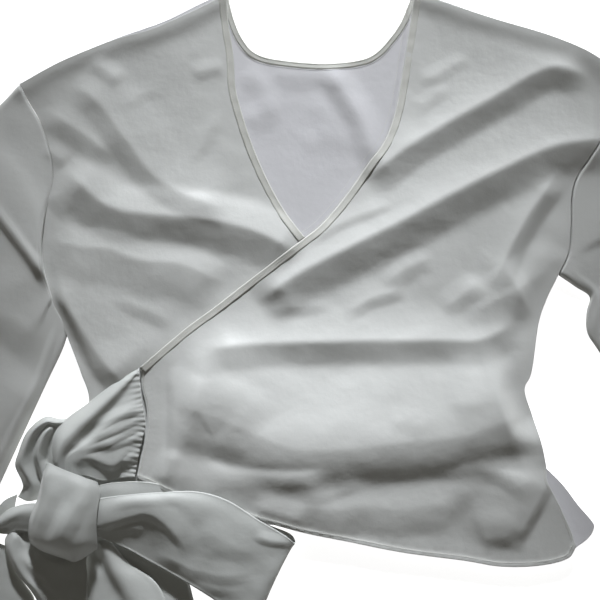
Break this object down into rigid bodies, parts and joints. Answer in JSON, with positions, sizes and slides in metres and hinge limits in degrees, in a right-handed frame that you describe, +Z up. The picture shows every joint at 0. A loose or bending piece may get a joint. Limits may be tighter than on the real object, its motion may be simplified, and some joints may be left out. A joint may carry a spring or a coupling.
{
  "type": "wrap top",
  "caption": "Long-sleeved satin wrap top laid flat, with a crossed V neck, narrow neck bindings and a sash tied in a bow at one side.",
  "frame": {"origin": "on the surface that the top lies on, under the middle of the body, half way between the side seams", "axes": "+X to the right as the top is looked at from above, +Y towards the neck, +Z up from the surface"},
  "size_m": [1.064, 0.7545, 0.0437],
  "materials": {
    "satin": "satin, soft sheen",
    "satin_inside": "dull reverse of the satin",
    "trim": "satin bias binding, stitched"
  },
  "bodies": {
    "root": {"back": "satin_inside", "front_under": "satin", "front_over": "satin", "sleeve_left": "satin", "sleeve_right": "satin", "sash_run": "satin", "sash_gather": "satin", "sash_turn": "satin", "loop_left": "satin", "tail_left": "satin", "tail_right": "satin", "tail_far": "satin", "tail_under": "satin", "bow_loop": "satin", "knot_band": "satin", "knot_core": "satin", "binding_back": "trim", "binding_under": "trim", "binding_over": "trim"}
  },
  "joints": []
}
